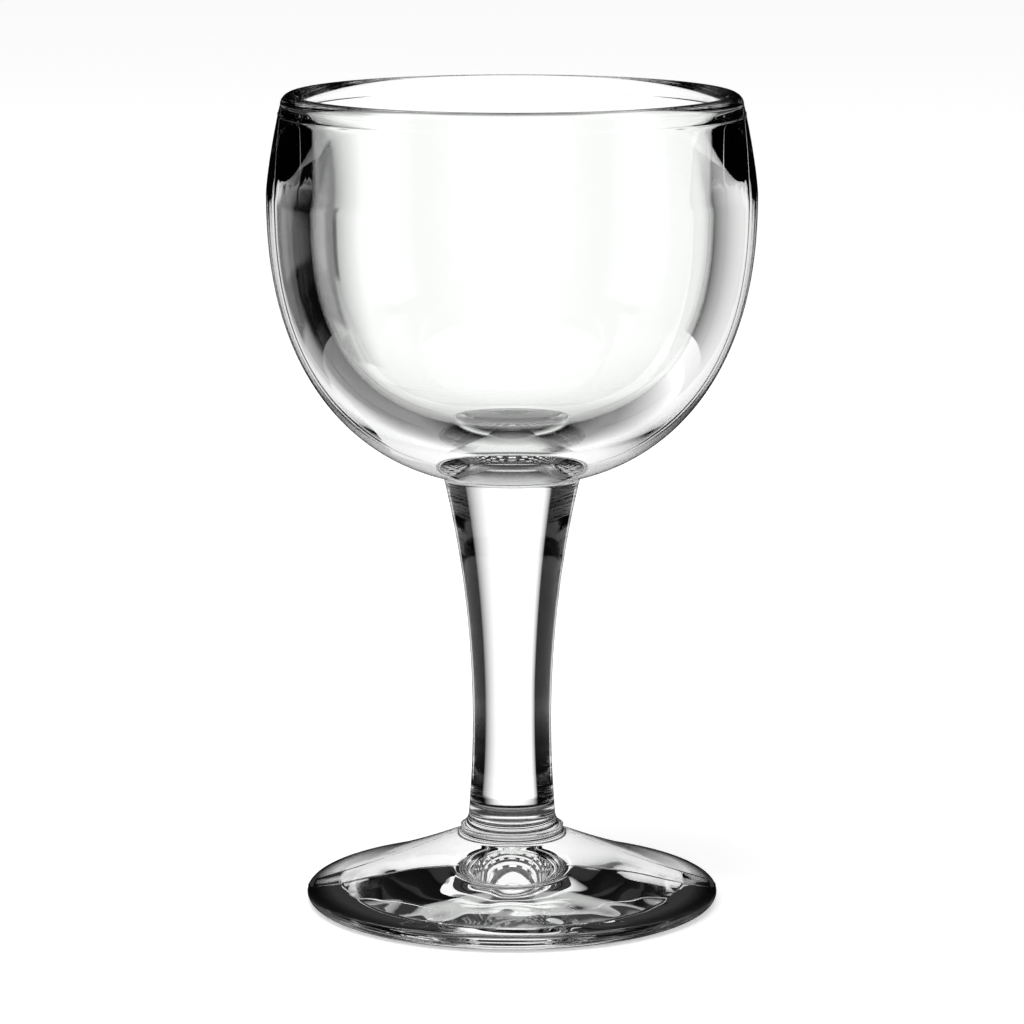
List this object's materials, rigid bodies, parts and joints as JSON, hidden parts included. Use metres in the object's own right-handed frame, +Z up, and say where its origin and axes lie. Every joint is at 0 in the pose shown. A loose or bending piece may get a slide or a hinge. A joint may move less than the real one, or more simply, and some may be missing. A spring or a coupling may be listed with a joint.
{
  "type": "balloon wine glass",
  "caption": "Stemmed balloon wine glass in clear glass: thick round bowl with a fire-polished rim, solid flared stem and conical foot with a hollow underside, to hold and drink wine.",
  "frame": {"origin": "centre of the circle that the foot stands on", "axes": "+Z up along the axis of the glass, from the foot to the rim; the mould seams are on +X and -X"},
  "size_m": [0.0906, 0.0906, 0.152],
  "materials": {
    "bowl_glass": "clear soda-lime glass, pressed, fire-polished",
    "stem_glass": "clear soda-lime glass, drawn, fire-polished",
    "foot_glass": "clear soda-lime glass, pressed and spun, fire-polished"
  },
  "bodies": {
    "root": {"bowl": "bowl_glass", "stem": "stem_glass", "foot": "foot_glass"}
  },
  "joints": []
}
